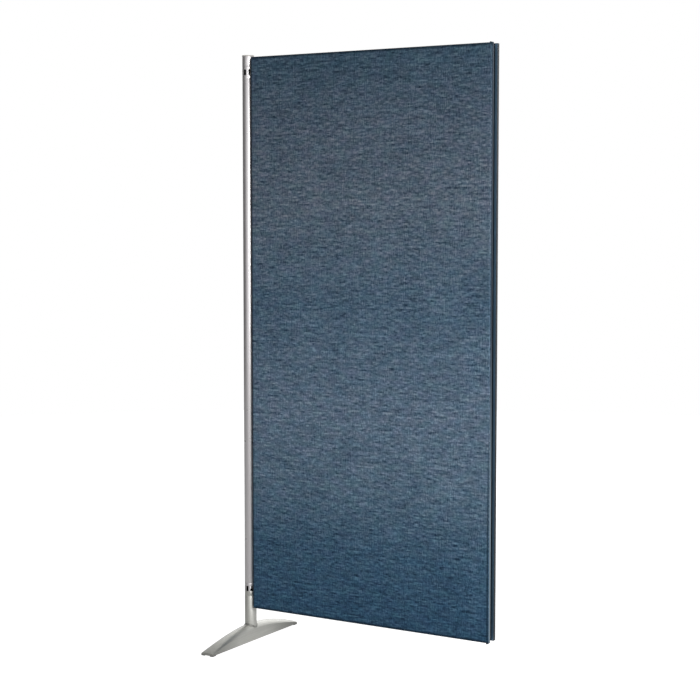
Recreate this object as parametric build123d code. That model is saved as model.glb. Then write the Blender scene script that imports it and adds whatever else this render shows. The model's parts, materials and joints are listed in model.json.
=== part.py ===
"""Add-on bay of a partition screen: a round post on an arched foot, with a fabric panel hooked on it.

Millimetres, +Z up. The panel lies along X with its hooked end at the post. The origin is on the floor,
under the middle of the whole object.
"""
from build123d import *
import math
import os

# Overall sizes
panel_width = 780.0
panel_height = 1630.0
panel_thickness = 50.0
panel_floor_gap = 103.0
post_panel_gap = 7.5
cut_overrun = 5.0

# Post
post_diameter = 35.0
post_wall = 2.5
post_head_overhang = 7.0
spigot_wall = 2.5
spigot_reach = 25.0
spigot_grip = 6.0
head_spigot_reach = 12.0
spigot_clearance = 0.05
cap_rim_height = 3.0
cap_rim_overhang = 0.6
cap_edge = 1.0
cap_plug_height = 14.0

# Hooks, and the windows that they hang in
window_count = 8
lower_window_inset = 55.0
upper_window_inset = 43.0
neck_height = 8.0
lift_travel = 7.5
lift_clearance = 0.2
seat_clearance = 0.3
blade_thickness = 5.0
window_side_clearance = 1.5
nose_drop = 6.0
nose_thickness = 4.0
nose_wall_clearance = 0.5
nose_floor_clearance = 2.0
shoulder_clearance = 0.7
shoulder_below = 10.0
shoulder_above = 4.0
hook_base_height = 60.0
hook_base_width = 16.0
hook_base_thickness = 3.0
hook_screw_spacing = 48.0

# Foot
foot_length = 445.0
foot_width = 41.0
foot_height = 50.0
foot_tip_height = 9.0
foot_wall = 2.0
foot_arch_power = 1.8
foot_skirt_share = 0.68
foot_section_shares = (-1.0, -0.8, -0.55, -0.28, 0.0, 0.28, 0.55, 0.8, 1.0)
stem_hole_clearance = 0.1
glide_lift = 2.0
glide_length = 14.0
glide_width = 9.0
glide_height = 6.0
plate_length = 120.0
plate_thickness = 4.0
plate_side_clearance = 0.1
bolt_floor_gap = 2.0
bolt_radius = 5.0
bolt_head_radius = 8.0
bolt_head_height = 6.0
bolt_socket_depth = 3.5
bolt_socket_radius = 4.0
bolt_hole_clearance = 0.5
bolt_thread_clearance = 0.05
washer_radius = 12.0
washer_thickness = 2.0
insert_height = 24.0
hexagon_sides = 6

# Panel
fabric_thickness = 1.0
facing_thickness = 4.0
edge_radius = 4.0
stile_width = 21.0
rail_height = 30.0
middle_rail_shares = (0.34, 0.66)
middle_rail_names = ("lower_middle_rail", "upper_middle_rail")
spline_width = 4.0
spline_depth = 8.0
spline_end_gap = 3.0
dowel_radius = 4.0
dowel_length = 40.0
dowel_stile_length = 16.0
dowel_spacing = 20.0

# Edge profile and the bar on its floor
profile_wall = 2.0
groove_width = 20.0
groove_depth = 13.0
bar_width = 18.0
bar_thickness = 3.0
hidden_bar_inset = 4.0
free_bar_top_overhang = 3.5
free_bar_bottom_overhang = 7.0
screw_radius = 2.0
screw_hole_clearance = 0.2
screw_thread_clearance = 0.05
screw_head_radius = 3.5
screw_head_height = 2.4
screw_drive_radius = 1.6
screw_drive_depth = 1.2
bar_screw_length = 24.0
hook_screw_length = 24.0
bar_screw_shares = (0.12, 0.31, 0.5, 0.69, 0.88)

# Derived places
post_radius = post_diameter / 2
post_bore = post_radius - post_wall
object_reach = post_radius + post_panel_gap + panel_width
post_x = (foot_width / 2 - object_reach) / 2
panel_left = post_x + post_radius + post_panel_gap
panel_right = panel_left + panel_width
panel_bottom = panel_floor_gap
panel_top = panel_bottom + panel_height
total_height = panel_top + post_head_overhang
core_thickness = panel_thickness - 2 * (facing_thickness + fabric_thickness)
core_bottom = panel_bottom + fabric_thickness
core_top = panel_top - fabric_thickness
groove_floor = groove_depth + profile_wall
stile_inner = groove_floor + stile_width

window_height = neck_height + lift_travel + lift_clearance + seat_clearance
window_width = blade_thickness + 2 * window_side_clearance
lower_window = panel_bottom + lower_window_inset
upper_window = panel_top - upper_window_inset
collar_below = window_height / 2 + nose_drop + nose_floor_clearance + spigot_grip
collar_above = window_height / 2 + nose_floor_clearance + spigot_grip

bolt_head_bottom = bolt_floor_gap
washer_bottom = bolt_head_bottom + bolt_head_height
plate_bottom = washer_bottom + washer_thickness
stem_bottom = plate_bottom + plate_thickness


def block(x_range, y_range, z_range):
    """Box between two corners."""
    spans = [high - low for low, high in (x_range, y_range, z_range)]
    middles = [(high + low) / 2 for low, high in (x_range, y_range, z_range)]
    return Pos(*middles) * Box(*spans)


def upright(radius, bottom, top):
    """Upright cylinder on the post's axis."""
    return Pos(post_x, 0, (bottom + top) / 2) * Cylinder(radius, top - bottom)


def upright_tube(outer, inner, bottom, top):
    """Length of tube on the post's axis."""
    return upright(outer, bottom, top) - upright(inner, bottom - cut_overrun, top + cut_overrun)


def level_rod(radius, x_from, x_to, y, z):
    """Cylinder that lies along X."""
    return Pos((x_from + x_to) / 2, y, z) * Rot(0, 90, 0) * Cylinder(radius, abs(x_to - x_from))


def group(pieces):
    """Separate solids that share one name."""
    return Compound(children=list(pieces))


def save(name, shape):
    """Write one piece of the object."""
    export_step(shape, "parts/" + name + ".step")


# Post

def slotted_collar(level):
    """Collar with its ring of windows."""
    collar = upright_tube(post_radius, post_bore, level - collar_below, level + collar_above)
    for index in range(window_count):
        window = block((0, post_radius + cut_overrun),
                       (-window_width / 2, window_width / 2),
                       (level - window_height / 2, level + window_height / 2))
        collar -= Pos(post_x, 0, 0) * Rot(0, 0, index * 360 / window_count) * window
    return collar


def spigot(bottom, top):
    """Inner sleeve that joins two lengths of the post."""
    outer = post_bore - spigot_clearance
    return upright_tube(outer, outer - spigot_wall, bottom, top)


def post_cap():
    """Rimmed cap with a plug that fits the head sleeve."""
    rim_bottom = total_height - cap_rim_height
    rim = upright(post_radius + cap_rim_overhang, rim_bottom, total_height)
    rim = chamfer(rim.edges().sort_by(Axis.Z)[-1], cap_edge)
    plug_bottom = rim_bottom - cap_plug_height
    plug = upright(post_bore - spigot_clearance, plug_bottom, rim_bottom)
    hollow = upright(post_bore - spigot_clearance - spigot_wall, plug_bottom - cut_overrun, rim_bottom)
    return rim + (plug - hollow)


def save_post():
    """Everything on the post's axis above the foot."""
    lower_from = lower_window - collar_below
    lower_to = lower_window + collar_above
    upper_from = upper_window - collar_below
    upper_to = upper_window + collar_above
    sleeve_top = total_height - cap_rim_height
    save("foot_stem", upright_tube(post_radius, post_bore, stem_bottom, lower_from))
    save("lower_slotted_collar", slotted_collar(lower_window))
    save("post_tube", upright_tube(post_radius, post_bore, lower_to, upper_from))
    save("upper_slotted_collar", slotted_collar(upper_window))
    save("head_sleeve", upright_tube(post_radius, post_bore, upper_to, sleeve_top))
    save("stem_spigot", spigot(lower_from - spigot_reach, lower_from + spigot_grip))
    save("lower_spigot", spigot(lower_to - spigot_grip, lower_to + spigot_reach))
    save("upper_spigot", spigot(upper_from - spigot_reach, upper_from + spigot_grip))
    save("head_spigot", spigot(upper_to - spigot_grip, upper_to + head_spigot_reach))
    save("post_cap", post_cap())


# Foot

def foot_section(share, half_length, half_width, inset):
    """Skirts and domed top of the foot, square across its length."""
    rise = foot_height - foot_tip_height
    crown = foot_tip_height + rise * (1 - abs(share) ** foot_arch_power) - glide_lift
    shoulder = crown * foot_skirt_share
    base = 0 if inset == 0 else -cut_overrun
    walls = Polyline((-half_width, shoulder), (-half_width, base), (half_width, base),
                     (half_width, shoulder))
    dome = ThreePointArc((half_width, shoulder), (0, crown - inset), (-half_width, shoulder))
    plane = Plane(origin=(post_x, share * half_length, glide_lift), x_dir=(1, 0, 0), z_dir=(0, -1, 0))
    return plane * make_face([walls, dome])


def foot_form(inset):
    """Solid foot, or the hollow that lies one wall inside it."""
    sections = [foot_section(share, foot_length / 2 - inset, foot_width / 2 - inset, inset)
                for share in foot_section_shares]
    return loft(sections)


def foot_shell():
    """Arched shell with the hole that the stem stands in."""
    hole = upright(post_radius + stem_hole_clearance, stem_bottom, foot_height + cut_overrun)
    return foot_form(0) - foot_form(foot_wall) - hole


def foot_plate():
    """Bar across the inside of the shell, under the stem."""
    half_width = foot_width / 2 - foot_wall - plate_side_clearance
    plate = block((post_x - half_width, post_x + half_width), (-plate_length / 2, plate_length / 2),
                  (plate_bottom, stem_bottom))
    return plate - upright(bolt_radius + bolt_hole_clearance, plate_bottom - cut_overrun,
                           stem_bottom + cut_overrun)


def foot_bolt():
    """Socket-head bolt that clamps the stem to the plate."""
    head = upright(bolt_head_radius, bolt_head_bottom, washer_bottom)
    shank = upright(bolt_radius, washer_bottom, stem_bottom + insert_height)
    socket = extrude(RegularPolygon(bolt_socket_radius, hexagon_sides), bolt_socket_depth)
    return head + shank - Pos(post_x, 0, bolt_head_bottom) * socket


def foot_glide(x_side, y_side):
    """Corner glide: a block inside the shell, with a lip under the skirt's edge."""
    outer = foot_width / 2
    inner = outer - foot_wall
    far_end = foot_length / 2
    near_end = far_end - foot_wall
    x_pad = sorted((x_side * (inner - glide_width), x_side * inner))
    x_lip = sorted((x_side * (inner - glide_width), x_side * outer))
    y_pad = sorted((y_side * (near_end - glide_length), y_side * near_end))
    y_lip = sorted((y_side * (near_end - glide_length), y_side * far_end))
    glide = block(x_pad, y_pad, (0, glide_height)) + block(x_lip, y_lip, (0, glide_lift))
    return Pos(post_x, 0, 0) * glide


def save_foot():
    """Foot, its inside pieces and its glides."""
    save("foot_shell", foot_shell())
    save("foot_plate", foot_plate())
    save("foot_bolt", foot_bolt())
    save("foot_washer", upright_tube(washer_radius, bolt_radius + bolt_hole_clearance,
                                     washer_bottom, plate_bottom))
    save("stem_insert", upright_tube(post_bore - spigot_clearance, bolt_radius + bolt_thread_clearance,
                                     stem_bottom, stem_bottom + insert_height))
    for y_name, y_side in (("front", -1), ("back", 1)):
        for x_name, x_side in (("left", -1), ("right", 1)):
            save(y_name + "_" + x_name + "_glide", foot_glide(x_side, y_side))


# Panel frame

def end_x(side, depth):
    """X at a depth inside the left end (side -1) or the free end (side 1)."""
    return panel_left + depth if side < 0 else panel_right - depth


def end_block(side, depths, y_range, z_range):
    """Block at one end of the panel, between two depths."""
    x_range = sorted(end_x(side, depth) for depth in depths)
    return block(x_range, y_range, z_range)


def level_of(share):
    """Height at a share of the panel's height."""
    return panel_bottom + share * panel_height


def rail_levels():
    """Bottom and top of each rail, by its name."""
    levels = {"bottom_rail": (core_bottom, core_bottom + rail_height),
              "top_rail": (core_top - rail_height, core_top)}
    for name, share in zip(middle_rail_names, middle_rail_shares):
        levels[name] = (level_of(share) - rail_height / 2, level_of(share) + rail_height / 2)
    return levels


def dowel_places():
    """Side, Y and Z of each dowel."""
    return [(side, y, (low + high) / 2)
            for low, high in rail_levels().values()
            for side in (-1, 1)
            for y in (-dowel_spacing / 2, dowel_spacing / 2)]


def dowels():
    """The dowels between rails and stiles."""
    inner_depth = stile_inner + dowel_length - dowel_stile_length
    return [level_rod(dowel_radius, end_x(side, stile_inner - dowel_stile_length),
                      end_x(side, inner_depth), y, z)
            for side, y, z in dowel_places()]


def without_dowels(piece):
    """Piece with its dowel holes."""
    for dowel in dowels():
        piece -= dowel
    return piece


def spline_grooves():
    """Grooves for cover edges and splines, in the top and bottom of the frame."""
    half_width = spline_width / 2 + fabric_thickness
    x_range = (end_x(-1, groove_floor + spline_end_gap), end_x(1, groove_floor + spline_end_gap))
    return [block(x_range, (-half_width, half_width), (core_bottom - cut_overrun, panel_bottom + spline_depth)),
            block(x_range, (-half_width, half_width), (panel_top - spline_depth, core_top + cut_overrun))]


def without_spline_grooves(piece):
    """Piece with the grooves that the splines sit in."""
    for groove in spline_grooves():
        piece -= groove
    return piece


def bar_screw_levels():
    """Heights of the screws that hold a bar."""
    return [level_of(share) for share in bar_screw_shares]


def hook_screw_levels():
    """Heights of the screws that hold the hooks, in pairs about the windows."""
    return [window + step for window in (lower_window, upper_window)
            for step in (-hook_screw_spacing / 2, hook_screw_spacing / 2)]


def screw_hole(side, radius, depth_from, depth_to, z):
    """Screw hole between two depths."""
    return level_rod(radius, end_x(side, depth_from), end_x(side, depth_to), 0, z)


def stile(side):
    """Upright of the frame, with the groove that the edge profile lines."""
    piece = end_block(side, (profile_wall, stile_inner), (-core_thickness / 2, core_thickness / 2),
                      (core_bottom, core_top))
    half_groove = groove_width / 2 + profile_wall
    piece -= end_block(side, (0, groove_floor), (-half_groove, half_groove),
                       (core_bottom - cut_overrun, core_top + cut_overrun))
    bar_tip = groove_depth - bar_thickness + bar_screw_length
    hook_tip = groove_depth - bar_thickness - hook_base_thickness + hook_screw_length
    radius = screw_radius + screw_thread_clearance
    for z in bar_screw_levels():
        piece -= screw_hole(side, radius, 0, bar_tip, z)
    for z in hook_screw_levels():
        piece -= screw_hole(side, radius, 0, hook_tip, z)
    return without_spline_grooves(without_dowels(piece))


def rail(low, high):
    """Cross piece between the stiles."""
    piece = block((end_x(-1, stile_inner), end_x(1, stile_inner)),
                  (-core_thickness / 2, core_thickness / 2), (low, high))
    return without_spline_grooves(without_dowels(piece))


def save_frame():
    """Wooden frame of the panel."""
    save("left_stile", stile(-1))
    save("free_stile", stile(1))
    for name, (low, high) in rail_levels().items():
        save(name, rail(low, high))
    save("frame_dowels", group(dowels()))


# Panel skin

def rounded_half(inset, y_side):
    """Half of the panel's thickness, with its outer long edges rounded."""
    x_range = (panel_left + inset, panel_right - inset)
    z_range = (panel_bottom + inset, panel_top - inset)
    outer = y_side * (panel_thickness / 2 - inset)
    half = block(x_range, sorted((0, outer)), z_range)
    face = half.faces().sort_by(Axis.Y)[-1 if y_side > 0 else 0]
    return fillet(face.edges(), edge_radius - inset)


def facing(y_side):
    """Board under the cover."""
    face_y = y_side * core_thickness / 2
    outer_y = y_side * panel_thickness / 2
    layer = block((panel_left, panel_right), sorted((face_y, outer_y)), (panel_bottom, panel_top))
    return rounded_half(fabric_thickness, y_side) & layer


def cover(y_side):
    """Fabric cover: face, rounded edges, and the hems that are pressed into the frame's grooves."""
    skin = rounded_half(0, y_side) - rounded_half(fabric_thickness, y_side)
    full_height = (panel_bottom - cut_overrun, panel_top + cut_overrun)
    half_core = core_thickness / 2
    half_groove = groove_width / 2
    half_spline = spline_width / 2
    for side in (-1, 1):
        skin -= end_block(side, (-cut_overrun, fabric_thickness), (-half_core, half_core), full_height)
        skin -= end_block(side, (-cut_overrun, groove_depth), (-half_groove, half_groove), full_height)
    skin -= block((panel_left, panel_right), (-half_spline, half_spline), full_height)
    hem_y = sorted((y_side * half_spline, y_side * (half_spline + fabric_thickness)))
    hem_x = (end_x(-1, groove_floor + spline_end_gap), end_x(1, groove_floor + spline_end_gap))
    skin += block(hem_x, hem_y, (panel_top - spline_depth, panel_top - fabric_thickness))
    skin += block(hem_x, hem_y, (panel_bottom + fabric_thickness, panel_bottom + spline_depth))
    return skin


def spline(z_range):
    """Strip that holds the covers' hems in their groove."""
    x_range = (end_x(-1, groove_floor + spline_end_gap), end_x(1, groove_floor + spline_end_gap))
    return block(x_range, (-spline_width / 2, spline_width / 2), z_range)


def save_skin():
    """Facings, covers and splines."""
    for name, y_side in (("front", -1), ("back", 1)):
        save(name + "_facing", facing(y_side))
        save(name + "_cover", cover(y_side))
    save("top_spline", spline((panel_top - spline_depth, panel_top)))
    save("bottom_spline", spline((panel_bottom, panel_bottom + spline_depth)))


# Panel ends

def edge_profile(side):
    """Thin extrusion: a lip on each side of the groove, the groove's walls and its floor."""
    half_core = core_thickness / 2
    half_groove = groove_width / 2
    height = (core_bottom, core_top)
    past = (core_bottom - cut_overrun, core_top + cut_overrun)
    lips = end_block(side, (0, profile_wall), (-half_core, half_core), height)
    channel = end_block(side, (0, groove_floor),
                        (-half_groove - profile_wall, half_groove + profile_wall), height)
    profile = lips + channel - end_block(side, (-cut_overrun, groove_depth),
                                         (-half_groove, half_groove), past)
    for z in bar_screw_levels() + hook_screw_levels():
        profile -= screw_hole(side, screw_radius + screw_hole_clearance, groove_depth - profile_wall,
                              groove_floor + profile_wall, z)
    return profile


def hook_bar(side):
    """Flat bar on the groove's floor, which carries the hooks."""
    low = panel_bottom + hidden_bar_inset if side < 0 else panel_bottom - free_bar_bottom_overhang
    high = panel_top - hidden_bar_inset if side < 0 else panel_top + free_bar_top_overhang
    outer_depth = groove_depth - bar_thickness
    bar = end_block(side, (outer_depth, groove_depth), (-bar_width / 2, bar_width / 2), (low, high))
    for z in bar_screw_levels() + hook_screw_levels():
        bar -= screw_hole(side, screw_radius + screw_hole_clearance, outer_depth - profile_wall,
                          groove_floor, z)
    return bar


def screw(side, seat_depth, length, z):
    """Round-head screw: its head lies on a seat, and its shank runs into the stile."""
    head_depth = seat_depth - screw_head_height
    head = level_rod(screw_head_radius, end_x(side, head_depth), end_x(side, seat_depth), 0, z)
    shank = level_rod(screw_radius, end_x(side, seat_depth), end_x(side, seat_depth + length), 0, z)
    drive = level_rod(screw_drive_radius, end_x(side, head_depth - screw_drive_depth),
                      end_x(side, head_depth + screw_drive_depth), 0, z)
    return head + shank - drive


def hook(level):
    """Base plate and blade; the neck passes a window and the nose hangs behind the post's wall."""
    base_depth = groove_depth - bar_thickness
    plate_face = base_depth - hook_base_thickness
    half_height = hook_base_height / 2
    half_blade = blade_thickness / 2
    base = end_block(-1, (plate_face, base_depth), (-hook_base_width / 2, hook_base_width / 2),
                     (level - half_height, level + half_height))
    sill = level - window_height / 2
    neck_bottom = sill + seat_clearance
    neck_top = neck_bottom + neck_height
    wall_inner = math.sqrt(post_bore ** 2 - half_blade ** 2)
    nose_outer = post_x + wall_inner - nose_wall_clearance
    nose_inner = nose_outer - nose_thickness
    shoulder_x = post_x + post_radius + shoulder_clearance
    neck = block((nose_inner, shoulder_x), (-half_blade, half_blade), (neck_bottom, neck_top))
    nose = block((nose_inner, nose_outer), (-half_blade, half_blade), (neck_bottom - nose_drop, neck_top))
    shoulder = block((shoulder_x, end_x(-1, plate_face)), (-half_blade, half_blade),
                     (neck_bottom - shoulder_below, neck_top + shoulder_above))
    piece = base + shoulder + neck + nose
    for step in (-hook_screw_spacing / 2, hook_screw_spacing / 2):
        piece -= screw_hole(-1, screw_radius + screw_hole_clearance, plate_face - profile_wall,
                            base_depth + profile_wall, level + step)
    return piece


def save_ends():
    """Profiles, bars, hooks and their screws."""
    bar_seat = groove_depth - bar_thickness
    hook_seat = bar_seat - hook_base_thickness
    bar_screws = []
    for name, side in (("left", -1), ("free", 1)):
        save(name + "_edge_profile", edge_profile(side))
        save(name + "_hook_bar", hook_bar(side))
        bar_screws += [screw(side, bar_seat, bar_screw_length, z) for z in bar_screw_levels()]
    save("bar_screws", group(bar_screws))
    save("lower_hook", hook(lower_window))
    save("upper_hook", hook(upper_window))
    hook_screws = [screw(-1, hook_seat, hook_screw_length, z) for z in hook_screw_levels()]
    save("hook_screws", group(hook_screws))


os.makedirs("parts", exist_ok=True)
save_post()
save_foot()
save_frame()
save_skin()
save_ends()
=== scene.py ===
"""Looks of a partition screen's add-on bay: modelled pieces, finishes, floor, light and camera.

Metres, +Z up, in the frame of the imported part.
"""
import json
import math

import bmesh
import bpy
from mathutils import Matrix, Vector


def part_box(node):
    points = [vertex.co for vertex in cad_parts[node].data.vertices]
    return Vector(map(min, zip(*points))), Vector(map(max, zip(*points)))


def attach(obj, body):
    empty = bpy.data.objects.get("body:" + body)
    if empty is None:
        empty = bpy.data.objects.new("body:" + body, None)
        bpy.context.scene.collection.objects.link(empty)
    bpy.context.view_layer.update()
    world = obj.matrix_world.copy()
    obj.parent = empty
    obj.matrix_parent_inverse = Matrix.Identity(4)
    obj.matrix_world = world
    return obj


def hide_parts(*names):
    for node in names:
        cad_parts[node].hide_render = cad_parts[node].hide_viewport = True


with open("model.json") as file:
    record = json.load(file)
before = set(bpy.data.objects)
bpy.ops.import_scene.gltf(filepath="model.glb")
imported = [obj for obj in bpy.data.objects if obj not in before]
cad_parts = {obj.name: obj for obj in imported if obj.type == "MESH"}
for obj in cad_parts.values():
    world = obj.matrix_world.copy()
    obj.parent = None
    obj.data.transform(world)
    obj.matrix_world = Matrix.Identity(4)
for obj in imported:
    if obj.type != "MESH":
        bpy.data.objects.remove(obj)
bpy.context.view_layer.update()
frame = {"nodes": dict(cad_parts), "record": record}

MM = 0.001
CLOSE = 0.01 * MM

# Places read from the frame
tube_low, tube_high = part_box("post_tube")
post_x = (tube_low.x + tube_high.x) / 2
post_radius = (tube_high.x - tube_low.x) / 2
foot_low, foot_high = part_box("foot_shell")
foot_half_width = (foot_high.x - foot_low.x) / 2
foot_half_length = foot_high.y
lower_collar_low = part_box("lower_slotted_collar")[0]
panel_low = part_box("front_cover")[0]
panel_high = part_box("back_cover")[1]

# Softened edges, in degrees and segments
EDGE_ANGLE = 40
SMOOTH_ANGLE = 35
SOFT_SEGMENTS = 2
ROUND_SEGMENTS = 3

# Post
ROUND_STEPS = 96
POST_WALL = 2.5 * MM
TUBE_EDGE = 0.35 * MM
WINDOW_COUNT = 8
WINDOW_HALF_WIDTH = 4 * MM
WINDOW_HALF_HEIGHT = 8 * MM
WINDOW_CORNER = 1.6 * MM
WINDOW_ABOVE_COLLAR_FOOT = 22 * MM
WINDOW_EDGE = 0.3 * MM
CAP_RIM_HEIGHT = 3 * MM
CAP_DISH = 0.8 * MM
CAP_FACING = 0.5

# Foot
FOOT_STEPS = 36
DOME_STEPS = 12
FOOT_WALL = 2 * MM
FOOT_TIP_HEIGHT = 9 * MM
FOOT_ARCH_POWER = 1.8
FOOT_SKIRT_SHARE = 0.68
FOOT_EDGE = 1.0 * MM
FOOT_EDGE_ANGLE = 28
FOOT_SOLE_FACING = 0.9
STEM_HOLE_CLEARANCE = 0.1 * MM
STEM_HOLE_DEPTH_SHARE = 2
STEM_HOLE_MIDDLE_SHARE = 1.2
WELD_WIDTH = 2.6 * MM
WELD_HEIGHT = 3.5 * MM
WELD_WALL = 0.6 * MM
WELD_STEPS = 6
WELD_SMOOTH_ANGLE = 60

# Panel cover
FABRIC = 1.0 * MM
COVER_EDGE = 4 * MM
COVER_EDGE_SEGMENTS = 6
COVER_COLUMNS = 12
COVER_ROWS = 24
COVER_SMOOTH_ANGLE = 40
CORE_HALF = 20 * MM
SPLINE_HALF = 2 * MM
HEM_DEPTH = 7 * MM
HEM_END = 18 * MM
TURNED_FACING = 0.72
GROOVE_HALF = 10 * MM
GROOVE_DEPTH = 13 * MM
PROFILE_WALL = 2 * MM
PROFILE_EDGE = 0.35 * MM


# Modelling steps

def start():
    """Nothing is selected, so the next primitive is alone."""
    bpy.ops.object.select_all(action="DESELECT")


def choose(piece):
    """Select one piece alone."""
    start()
    piece.select_set(True)
    bpy.context.view_layer.objects.active = piece


def named(name):
    """Name the new primitive, and put its place into its mesh."""
    piece = bpy.context.object
    piece.name = name
    piece.data.name = name
    bpy.ops.object.transform_apply(location=True, rotation=True, scale=True)
    return piece


def edit(piece):
    """Open a piece in edit mode, selected all over."""
    choose(piece)
    bpy.ops.object.mode_set(mode="EDIT")
    bpy.ops.mesh.select_mode(type="VERT")
    bpy.ops.mesh.select_all(action="SELECT")


def close():
    """Back to object mode."""
    bpy.ops.object.mode_set(mode="OBJECT")


def middle(part):
    """Middle of an edge or face."""
    if isinstance(part, bmesh.types.BMEdge):
        return (part.verts[0].co + part.verts[1].co) / 2
    return part.calc_center_median()


def pick(piece, mode, test):
    """Select the vertices, edges or faces that pass a test."""
    bpy.ops.mesh.select_mode(type=mode)
    bpy.ops.mesh.select_all(action="DESELECT")
    mesh = bmesh.from_edit_mesh(piece.data)
    parts = {"VERT": mesh.verts, "EDGE": mesh.edges, "FACE": mesh.faces}[mode]
    for part in parts:
        if test(part):
            part.select_set(True)
    mesh.select_flush_mode()
    bmesh.update_edit_mesh(piece.data)


def cut(point, normal):
    """Cut the whole piece along a plane."""
    bpy.ops.mesh.select_all(action="SELECT")
    bpy.ops.mesh.bisect(plane_co=point, plane_no=normal)


def apply_modifier(piece, kind, **settings):
    """Finish a piece with a modifier, and leave it selected."""
    choose(piece)
    modifier = piece.modifiers.new(kind.lower(), kind)
    for name, value in settings.items():
        setattr(modifier, name, value)
    bpy.ops.object.modifier_apply(modifier=modifier.name)


def smooth(angle):
    """Shade the selected piece smooth where its faces meet at less than an angle."""
    bpy.ops.object.shade_smooth_by_angle(angle=math.radians(angle))


def thicken(piece, wall):
    """Give a skin its wall, inwards."""
    apply_modifier(piece, "SOLIDIFY", thickness=wall, offset=-1, use_even_offset=True)


def soften(piece, width, angle=EDGE_ANGLE, segments=SOFT_SEGMENTS):
    """Round the edges that are sharper than an angle, and shade the rest smooth."""
    apply_modifier(piece, "BEVEL", width=width, segments=segments, limit_method="ANGLE",
                   angle_limit=math.radians(angle), harden_normals=False)
    smooth(SMOOTH_ANGLE)


def clean(piece):
    """Merge doubles and turn the faces outwards."""
    edit(piece)
    bpy.ops.mesh.remove_doubles(threshold=CLOSE)
    bpy.ops.mesh.normals_make_consistent(inside=False)
    close()


# Post

def open_tube(name, radius, bottom, top):
    """Skin of a round tube on the post's axis."""
    start()
    bpy.ops.mesh.primitive_cylinder_add(vertices=ROUND_STEPS, radius=radius, depth=top - bottom,
                                        end_fill_type="NOTHING", location=(post_x, 0, (bottom + top) / 2))
    return named(name)


def post_length(name, node):
    """Plain length of the post, with softened rims."""
    low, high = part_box(node)
    piece = open_tube(name, post_radius, low.z, high.z)
    thicken(piece, POST_WALL)
    soften(piece, TUBE_EDGE)
    return piece


def window_turns():
    """Heading of each window's middle, in radians."""
    return [2 * math.pi * index / WINDOW_COUNT for index in range(WINDOW_COUNT)]


def tangent(turn):
    """Way along the post's skin at a heading."""
    return Vector((-math.sin(turn), math.cos(turn), 0))


def beside_windows(place):
    """How far a place lies beside the middle of each window on its own side of the post."""
    offsets = []
    for turn in window_turns():
        away = place - Vector((post_x, 0, place.z))
        if away.dot(Vector((math.cos(turn), math.sin(turn), 0))) > 0:
            offsets.append(abs(away.dot(tangent(turn))))
    return offsets


def in_window(place, level):
    """Whether a place of the skin lies in one of the windows."""
    if abs(place.z - level) > WINDOW_HALF_HEIGHT:
        return False
    return any(offset < WINDOW_HALF_WIDTH for offset in beside_windows(place))


def is_window_corner(vert, level):
    """Whether a vertex is the corner of a window."""
    if abs(abs(vert.co.z - level) - WINDOW_HALF_HEIGHT) > CLOSE or not vert.is_boundary:
        return False
    return any(abs(offset - WINDOW_HALF_WIDTH) < CLOSE for offset in beside_windows(vert.co))


def slotted_collar(name, node):
    """Collar with eight windows, whose corners are rounded."""
    low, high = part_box(node)
    level = low.z + WINDOW_ABOVE_COLLAR_FOOT
    piece = open_tube(name, post_radius, low.z, high.z)
    edit(piece)
    for side in (-1, 1):
        cut((post_x, 0, level + side * WINDOW_HALF_HEIGHT), (0, 0, 1))
        for turn in window_turns()[:WINDOW_COUNT // 2]:
            across = tangent(turn)
            cut(Vector((post_x, 0, 0)) + side * WINDOW_HALF_WIDTH * across, across)
    pick(piece, "FACE", lambda face: in_window(middle(face), level))
    bpy.ops.mesh.delete(type="FACE")
    pick(piece, "VERT", lambda vert: is_window_corner(vert, level))
    bpy.ops.mesh.bevel(affect="VERTICES", offset=WINDOW_CORNER, segments=ROUND_SEGMENTS)
    close()
    thicken(piece, POST_WALL)
    soften(piece, WINDOW_EDGE)
    return piece


def post_cap():
    """Cap with a softened rim, a shallow dish and a neck that goes into the post."""
    low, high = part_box("post_cap")
    radius = (high.x - low.x) / 2
    neck = high.z - CAP_RIM_HEIGHT - low.z
    start()
    bpy.ops.mesh.primitive_cylinder_add(vertices=ROUND_STEPS, radius=radius, depth=CAP_RIM_HEIGHT,
                                        location=(post_x, 0, high.z - CAP_RIM_HEIGHT / 2))
    piece = named("rimmed_cap")
    edit(piece)
    pick(piece, "FACE", lambda face: face.normal.z > CAP_FACING)
    bpy.ops.mesh.inset(thickness=POST_WALL, depth=0)
    bpy.ops.mesh.inset(thickness=CAP_DISH, depth=-CAP_DISH)
    pick(piece, "FACE", lambda face: face.normal.z < -CAP_FACING)
    bpy.ops.mesh.inset(thickness=radius - post_radius + 2 * POST_WALL, depth=0)
    bpy.ops.mesh.extrude_region_move(TRANSFORM_OT_translate={"value": (0, 0, -neck)})
    close()
    soften(piece, TUBE_EDGE, segments=ROUND_SEGMENTS)
    return piece


# Foot

def arch(share):
    """Height of the foot's ridge above the lower edge, at a share of its half length."""
    rise = foot_high.z - FOOT_TIP_HEIGHT
    return FOOT_TIP_HEIGHT + rise * (1 - abs(share) ** FOOT_ARCH_POWER) - foot_low.z


def dome_drop(offset):
    """How far the middle section's dome lies under its ridge, beside the ridge."""
    sagitta = arch(0) * (1 - FOOT_SKIRT_SHARE)
    radius = (foot_half_width ** 2 + sagitta ** 2) / (2 * sagitta)
    return radius - math.sqrt(radius ** 2 - offset ** 2)


def spaced(half, steps):
    """Places from end to end, closer together towards the ends."""
    return [half * math.sin(math.pi * (index / steps - 0.5)) for index in range(steps + 1)]


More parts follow.
